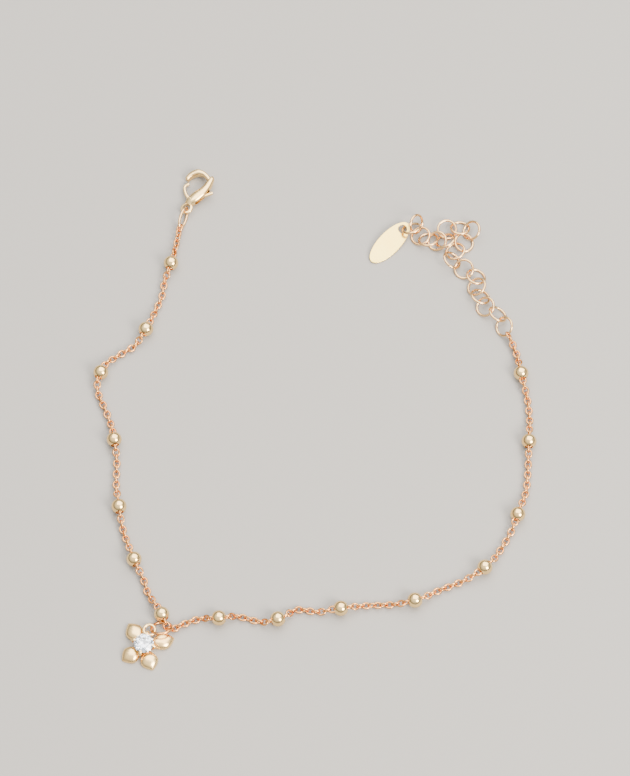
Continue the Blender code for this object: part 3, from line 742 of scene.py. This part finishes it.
class ANKLET_OT_beads(bpy.types.Operator):
    """Hollow turned balls with a hole at each end, threaded on the chain"""
    bl_idname = "anklet.beads"
    bl_label = "Beads"

    def execute(self, context):
        size = context.scene.anklet_beads
        look = plated_brass("polished_champagne_gold_bead", size.colour,
                            darker(size.colour, 0.88), 0.15, polish_mm=0.8, bump=0.03)
        beads = route_frame()[1]
        for number, (centre, way) in enumerate(beads, start=1):
            bm = bmesh.new()
            outer, inner = size.diameter / 2, size.diameter / 2 - size.wall
            mouth = size.mouth / 2
            outline = []
            for radius, hole, steps, turn in ((outer, mouth + BEAD_MOUTH_BEVEL, 24, 1),
                                              (inner, mouth, 14, -1)):
                first = math.asin(hole / radius)
                row = [first + (math.pi - 2 * first) * step / steps
                       for step in range(steps + 1)]
                outline += [Vector((radius * math.cos(angle), 0.0, radius * math.sin(angle)))
                            for angle in row[::turn]]
            verts = [bm.verts.new(point) for point in outline]
            edges = [bm.edges.new(pair) for pair in zip(verts, verts[1:] + verts[:1])]
            bmesh.ops.spin(bm, geom=edges, cent=(0, 0, 0), axis=(1, 0, 0),
                           angle=2 * math.pi, steps=36, use_merge=True)
            bmesh.ops.remove_doubles(bm, verts=bm.verts, dist=SPIN_WELD)
            turn = way.to_track_quat("X", "Z").to_matrix().to_4x4()
            moved(bm, Matrix.Translation(centre) @ turn)
            new_piece(f"bead_ball_{number:02d}", bm, look, ANKLET,
                      [f"bead_{number:02d}"], smooth=50.0)
        return {"FINISHED"}


# Clasp


def limb(table, size, sides, half_thickness=None):
    """A limb of the clasp, with a rounded section square to its own line."""
    rows = eased(table, LIMB_STEPS)
    centres = [Vector((row[0], row[1], 0.0)) * size.length for row in rows]
    loops = []
    for index, row in enumerate(rows):
        way = centres[min(index + 1, len(rows) - 1)] - centres[max(index - 1, 0)]
        side = Vector((way.y, -way.x, 0.0)).normalized()
        tall = half_thickness or row[3] * size.thickness / 2
        wide = row[2] * size.length / 2
        square = LEVER_ROUNDNESS if half_thickness else CLAW_ROUNDNESS
        loops.append([centres[index] + side * wide * soft_power(math.cos(turn), square)
                      + UP * tall * soft_power(math.sin(turn), square)
                      for turn in (2 * math.pi * (n + 0.5) / sides for n in range(sides))])
    bm = bmesh.new()
    loft(bm, loops)
    return bm


def soft_power(value, power):
    """A power that keeps the sign of its value."""
    return math.copysign(abs(value) ** power, value)


def clasp_place():
    """The clasp's own frame, found from the lever's hinge."""
    size = bpy.context.scene.anklet_clasp
    turn = (Matrix.Rotation(math.radians(CLASP_HEADING - 90.0), 4, "Z")
            @ Matrix.Rotation(math.radians(-CLASP_ROLL), 4, "Y"))
    pivot = Vector((*PIVOT, 0.0)) * size.length
    hinge = Vector(frame["joints"][0]["pos_m"])
    return Matrix.Translation(hinge) @ turn @ Matrix.Translation(-pivot)


class ANKLET_OT_clasp(bpy.types.Operator):
    """Cast lobster claw with its lever, and the oval ring behind it"""
    bl_idname = "anklet.clasp"
    bl_label = "Clasp"

    def execute(self, context):
        size = context.scene.anklet_clasp
        colour = context.scene.anklet_charm.colour
        look = plated_brass("cast_champagne_gold_clasp", colour, darker(colour, 0.86), 0.2)
        place = clasp_place()
        pivot = Vector((*PIVOT, 0.0)) * size.length

        cut = bmesh.new()
        bmesh.ops.create_cube(cut, size=1.0)
        tall = (SLOT_HEAD - SLOT_FOOT) * size.length
        bmesh.ops.scale(cut, vec=(size.length, tall, size.slot), verts=cut.verts)
        moved(cut, Matrix.Translation((0.0, (SLOT_HEAD + SLOT_FOOT) / 2 * size.length, 0.0)))
        eye = turned(size.eye_thickness, size.eye_hole / 2 + size.eye_wall, 48)
        round_rims(eye, EYE_ROUNDING, 4)
        rivet = bmesh.new()
        bmesh.ops.create_uvsphere(rivet, u_segments=24, v_segments=16, radius=RIVET_RADIUS)
        bmesh.ops.scale(rivet, vec=(1.0, 1.0, RIVET_STRETCH), verts=rivet.verts)
        moved(rivet, Matrix.Translation(pivot))
        claw = shaped(limb(CLASP_ARM, size, 28), (
            ("UNION", limb(CLASP_HOOK, size, 28)),
            ("UNION", eye),
            ("DIFFERENCE", turned(3 * size.thickness, size.eye_hole / 2, 48)),
            ("DIFFERENCE", cut),
            ("UNION", rivet)))
        new_piece("clasp_claw", moved(claw, place), look, ANKLET,
                  ["clasp_body"])

        at_pivot = Matrix.Translation(pivot)
        arm = shaped(turned(size.lever, RIVET_RADIUS + HUB_WALL, place=at_pivot), (
            ("UNION", limb(LEVER_GATE, size, 16, size.lever / 2)),
            ("UNION", limb(LEVER_NIB, size, 16, size.lever / 2)),
            ("DIFFERENCE", turned(size.thickness, RIVET_RADIUS, place=at_pivot))))
        new_piece("clasp_lever_arm", moved(arm, place), look, LEVER,
                  ["clasp_lever"])

        bm = wire_ring(size.ring_length, size.ring_width, size.ring_wire, stations=52)
        new_piece("clasp_oval_ring", moved(bm, ring_place("clasp_ring", oval=True)),
                  ring_look(), ANKLET, ["clasp_ring"], smooth=60.0)
        return {"FINISHED"}


# Charm


def petal(size, length):
    """A plump petal along X, flat below and domed above."""
    loops = []
    for along, width, height in eased(PETAL_SECTIONS, 4):
        half, top = width * size.petal_width / 2, height * size.petal_height
        edge = PETAL_EDGE * top
        base = [Vector((along * length, -half * PETAL_FOOT, 0.0)),
                Vector((along * length, half * PETAL_FOOT, 0.0))]
        dome = [Vector((along * length, half * math.cos(turn),
                        edge + (top - edge) * math.sin(turn)))
                for turn in (math.pi * step / 20 for step in range(21))]
        loops.append(base + dome)
    bm = bmesh.new()
    loft(bm, loops)
    return bm


def girdle_height(size):
    """Height of the stone's widest part above the board."""
    return STONE_BACK + PAVILION * size.stone


def prong(size):
    """A claw beside the stone, its rounded tip leaning over the edge."""
    girdle, crown = girdle_height(size), CROWN * size.stone
    out = size.stone / 2 + PRONG_GAP + PRONG_RADIUS
    rows = [(reach * out, height * girdle, share) for reach, height, share in PRONG_STEM]
    rows += [(out - lean * PRONG_RADIUS, girdle + height * crown, share)
             for lean, height, share in PRONG_TIP]
    bm = bmesh.new()
    loft(bm, [[Vector((reach + share * PRONG_RADIUS * math.cos(turn),
                       share * PRONG_RADIUS * math.sin(turn), height))
               for turn in (2 * math.pi * n / 16 for n in range(16))]
              for reach, height, share in eased(rows, 3)])
    return bm


def cut_facet(bm, azimuth, tilt, reach, height):
    """Cut one flat facet through a point at a reach and height, leaning by a tilt."""
    turn = math.radians(azimuth)
    level = Vector((math.cos(turn), math.sin(turn), 0.0))
    lean = math.radians(tilt)
    normal = level * math.sin(lean) + UP * math.cos(lean)
    cut = bmesh.ops.bisect_plane(bm, geom=bm.verts[:] + bm.edges[:] + bm.faces[:],
                                 dist=1e-7, plane_co=level * reach + UP * height,
                                 plane_no=normal, clear_outer=True)
    edges = [item for item in cut["geom_cut"] if isinstance(item, bmesh.types.BMEdge)]
    if edges:
        bmesh.ops.holes_fill(bm, edges=[edge for edge in bm.edges if edge.is_boundary])


def brilliant(size):
    """A round brilliant cut, facet by facet from a round blank."""
    radius, girdle = size.stone / 2, girdle_height(size)
    rim, table = girdle + GIRDLE_BAND * size.stone, girdle + CROWN * size.stone
    main = math.degrees(math.atan2(table - rim, (1.0 - TABLE_REACH) * radius))
    pavilion = math.degrees(math.atan2(girdle - STONE_BACK, radius))
    bm = turned(4 * MM, radius, 64, Matrix.Translation((0.0, 0.0, girdle)))
    cut_facet(bm, 0.0, 0.0, 0.0, table)
    for step in range(8):
        cut_facet(bm, 45.0 * step, main, TABLE_REACH * radius, table)
        cut_facet(bm, 45.0 * step, 180.0 - pavilion, radius, girdle)
    for step in range(8):
        cut_facet(bm, 45.0 * step + 22.5, STAR_LEAN * main, STAR_REACH * radius, table)
    for step in range(16):
        middle = 22.5 * step + 11.25
        cut_facet(bm, middle, RIM_LEAN * main, RIM_REACH * radius, rim)
        cut_facet(bm, middle, 180.0 - pavilion - LOWER_LEAN, RIM_REACH * radius, girdle)
    return bm


class ANKLET_OT_charm(bpy.types.Operator):
    """Flower with four plump petals round a claw-set stone, and its ring"""
    bl_idname = "anklet.charm"
    bl_label = "Charm"

    def execute(self, context):
        size = context.scene.anklet_charm
        look = plated_brass("satin_champagne_gold_flower", size.colour,
                            darker(size.colour, 0.9), 0.25, polish_mm=0.6)
        low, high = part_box("crystal")
        place = Matrix.Translation(((low.x + high.x) / 2, (low.y + high.y) / 2, 0.0))
        girdle = girdle_height(size)
        slope = (girdle - STONE_BACK) / (size.stone / 2)
        offset = STONE_CLEARANCE * math.hypot(1.0, slope)
        top = girdle - COLLAR_DROP
        mouth = (top - STONE_BACK + offset) / slope

        collar = bmesh.new()
        bmesh.ops.create_cone(collar, cap_ends=True, segments=56,
                              radius1=COLLAR_FOOT * mouth, radius2=mouth - COLLAR_TUCK,
                              depth=top, matrix=Matrix.Translation((0, 0, top / 2)))
        steps = [("UNION", moved(petal(size, share * size.petal_length),
                                 Matrix.Rotation(math.radians(bearing), 4, "Z")))
                 for bearing, share in PETALS]
        steps += [("UNION", moved(prong(size), Matrix.Rotation(
            math.radians(LOOP_BEARING + 90.0 * quarter), 4, "Z"))) for quarter in range(4)]
        ring = ring_place("charm_ring", spin=CHARM_RING_SPLIT_AT)
        reach = size.stone / 2 + LOOP_REACH
        bearing = math.radians(LOOP_BEARING)
        loop_at = Vector((reach * math.cos(bearing), reach * math.sin(bearing),
                          ring.translation.z))
        loop = wire_ring(LOOP_WIDTH, LOOP_WIDTH, LOOP_WIRE, stations=36, sides=12)
        steps.append(("UNION", moved(loop, Matrix.Translation(loop_at))))
        seat = bmesh.new()
        tall = girdle - STONE_BACK + offset
        middle = STONE_BACK - offset + tall / 2
        bmesh.ops.create_cone(seat, cap_ends=True, segments=56, radius1=SEAT_POINT,
                              radius2=tall / slope, depth=tall,
                              matrix=Matrix.Translation((0, 0, middle)))
        steps.append(("DIFFERENCE", seat))
        new_piece("flower_setting", moved(shaped(collar, steps), place), look,
                  ANKLET, ["flower_charm"])
        new_piece("cut_stone", moved(brilliant(size), place), cubic_zirconia(),
                  ANKLET, ["crystal"], smooth=None)

        bm = wire_ring(size.ring, size.ring, size.ring_wire, CHARM_RING_SPLIT, 48, 12)
        new_piece("charm_jump_ring", moved(bm, ring), chain_look(), ANKLET,
                  ["charm_ring"], smooth=60.0)
        return {"FINISHED"}


# Extender


def tag_place():
    """Attitude of the end tag: X runs to its hole, and Z is its upper face."""
    spots = numpy.array([vert.co for vert in frame["nodes"]["end_tag"].data.vertices])
    spots = numpy.unique(spots.round(7), axis=0)
    middle = spots.mean(axis=0)
    axis = Vector(numpy.linalg.svd(spots - middle, full_matrices=False)[2][2])
    axis = axis if axis.z > 0 else -axis
    reaches = numpy.linalg.norm(spots - middle, axis=1)
    tip = spots[reaches.argmax()]
    other = spots[numpy.linalg.norm(spots - tip, axis=1).argmax()]
    centre = Vector((tip + other) / 2)
    along = Vector(middle) - centre
    along = along - axis * along.dot(axis)
    line = Vector(tip - other)
    line = (line - axis * line.dot(axis)).normalized()
    line = line if line.dot(along) > 0 else -line
    turn = Matrix((line, axis.cross(line), axis)).transposed().to_4x4()
    return Matrix.Translation(centre) @ turn


class ANKLET_OT_extender(bpy.types.Operator):
    """Row of split round rings that the clasp can close on"""
    bl_idname = "anklet.extender"
    bl_label = "Extender rings"

    def execute(self, context):
        size = context.scene.anklet_extender
        names = sorted(name for name in frame["nodes"] if name.startswith("ext_ring_"))
        for number, node in enumerate(names, start=1):
            bm = wire_ring(size.ring, size.ring, size.wire, size.gap)
            place = ring_place(node, spin=(SPLIT_TURN * number) % 360.0)
            new_piece(f"extender_split_ring_{number:02d}", moved(bm, place), ring_look(),
                      ANKLET, [node], smooth=60.0)
        return {"FINISHED"}


class ANKLET_OT_tag(bpy.types.Operator):
    """Thin stamped oval tag, bare on both faces, with a hole for the last ring"""
    bl_idname = "anklet.tag"
    bl_label = "End tag"

    def execute(self, context):
        size = context.scene.anklet_extender
        look = plated_brass("stamped_pale_gold_tag", size.tag_colour,
                            darker(size.tag_colour, 0.9), 0.24, bump=0.1)
        bm = bmesh.new()
        bmesh.ops.create_circle(bm, segments=96, radius=0.5)
        bmesh.ops.scale(bm, vec=(size.tag_length, size.tag_width, 1.0), verts=bm.verts)
        hole = size.tag_length / 2 - size.tag_edge - size.tag_hole / 2
        bmesh.ops.create_circle(bm, segments=40, radius=size.tag_hole / 2,
                                matrix=Matrix.Translation((hole, 0.0, 0.0)))
        bmesh.ops.triangle_fill(bm, use_beauty=True, edges=bm.edges)
        raised = bmesh.ops.extrude_face_region(bm, geom=bm.faces[:] + bm.edges[:])
        top = [item for item in raised["geom"] if isinstance(item, bmesh.types.BMVert)]
        bmesh.ops.translate(bm, vec=(0.0, 0.0, size.tag_thickness), verts=top)
        bmesh.ops.translate(bm, vec=(0.0, 0.0, -size.tag_thickness / 2), verts=bm.verts)
        bmesh.ops.recalc_face_normals(bm, faces=bm.faces)
        round_rims(bm, TAG_ROUNDING, 3)
        new_piece("hang_tag", moved(bm, tag_place()), look, ANKLET,
                  ["end_tag"])
        return {"FINISHED"}


# Stage


def soft_light(name, place, side, watts, code):
    """A square soft box that faces the middle of the board."""
    data = bpy.data.lights.new(name, "AREA")
    data.size, data.energy, data.color = side, watts, linear(code)
    lamp = bpy.data.objects.new(name, data)
    bpy.context.scene.collection.objects.link(lamp)
    lamp.location = place
    lamp.rotation_mode = "QUATERNION"
    lamp.rotation_quaternion = (-Vector(place)).to_track_quat("-Z", "Y")


class ANKLET_OT_stage(bpy.types.Operator):
    """Pale board, soft light and the camera at the photograph's angle"""
    bl_idname = "anklet.stage"
    bl_label = "Stage"

    def execute(self, context):
        size = context.scene.anklet_stage
        bm = bmesh.new()
        bmesh.ops.create_grid(bm, x_segments=4, y_segments=4, size=BOARD_REACH)
        mesh = bpy.data.meshes.new("board")
        bm.to_mesh(mesh)
        bm.free()
        mesh.materials.append(matt_board(size.board))
        board = bpy.data.objects.new("board", mesh)
        context.scene.collection.objects.link(board)

        world = bpy.data.worlds.new("soft_room")
        context.scene.world = world
        world.use_nodes = True
        tree = world.node_tree
        room = tree.nodes["Background"]
        room.inputs["Color"].default_value = (*linear("F1EFEC"), 1.0)
        way = add_node(tree, "ShaderNodeTexCoord", {}).outputs["Generated"]
        height = add_node(tree, "ShaderNodeSeparateXYZ", {}, {"Vector": way}).outputs["Z"]
        glow = add_node(tree, "ShaderNodeMapRange",
                        {"From Min": 0.15, "From Max": 0.85, "To Min": 0.3, "To Max": 2.1},
                        {"Value": height})
        tree.links.new(glow.outputs["Result"], room.inputs["Strength"])
        for light in LIGHTS:
            soft_light(*light)

        target = route_origin()
        target.z = 0.0
        data = bpy.data.cameras.new("camera")
        data.lens, data.sensor_width = size.lens, 36.0
        data.clip_start, data.clip_end = 0.01, 10.0
        camera = bpy.data.objects.new("camera", data)
        context.scene.collection.objects.link(camera)
        camera.location = target + Vector((0.0, -math.cos(size.elevation),
                                           math.sin(size.elevation))) * size.distance
        camera.rotation_euler = (math.pi / 2 - size.elevation, 0.0, 0.0)
        context.scene.camera = camera
        return {"FINISHED"}


class ANKLET_PT_panel(bpy.types.Panel):
    """Each step of the build with its sizes and colours"""
    bl_label = "Charm anklet"
    bl_idname = "ANKLET_PT_panel"
    bl_space_type = "VIEW_3D"
    bl_region_type = "UI"
    bl_category = "Anklet"

    def draw(self, context):
        for operator, group in STEPS:
            box = self.layout.box()
            box.operator(operator.bl_idname)
            settings = getattr(context.scene, group)
            for name in settings.bl_rna.properties.keys():
                if name not in ("rna_type", "name"):
                    box.prop(settings, name)


GROUPS = {
    "anklet_chain": ChainSettings, "anklet_beads": BeadSettings,
    "anklet_clasp": ClaspSettings, "anklet_charm": CharmSettings,
    "anklet_extender": ExtenderSettings, "anklet_stage": StageSettings,
}
STEPS = (
    (ANKLET_OT_chain, "anklet_chain"), (ANKLET_OT_beads, "anklet_beads"),
    (ANKLET_OT_clasp, "anklet_clasp"), (ANKLET_OT_charm, "anklet_charm"),
    (ANKLET_OT_extender, "anklet_extender"), (ANKLET_OT_tag, "anklet_extender"),
    (ANKLET_OT_stage, "anklet_stage"),
)
CLASSES = (*GROUPS.values(), *(operator for operator, _ in STEPS), ANKLET_PT_panel)


def register():
    for cls in CLASSES:
        bpy.utils.register_class(cls)
    for name, group in GROUPS.items():
        setattr(bpy.types.Scene, name, bpy.props.PointerProperty(type=group))


def unregister():
    for name in GROUPS:
        delattr(bpy.types.Scene, name)
    for cls in reversed(CLASSES):
        bpy.utils.unregister_class(cls)


def main():
    register()
    for operator, _ in STEPS:
        module, name = operator.bl_idname.split(".")
        getattr(getattr(bpy.ops, module), name)()
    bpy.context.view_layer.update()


if __name__ == "__main__":
    main()
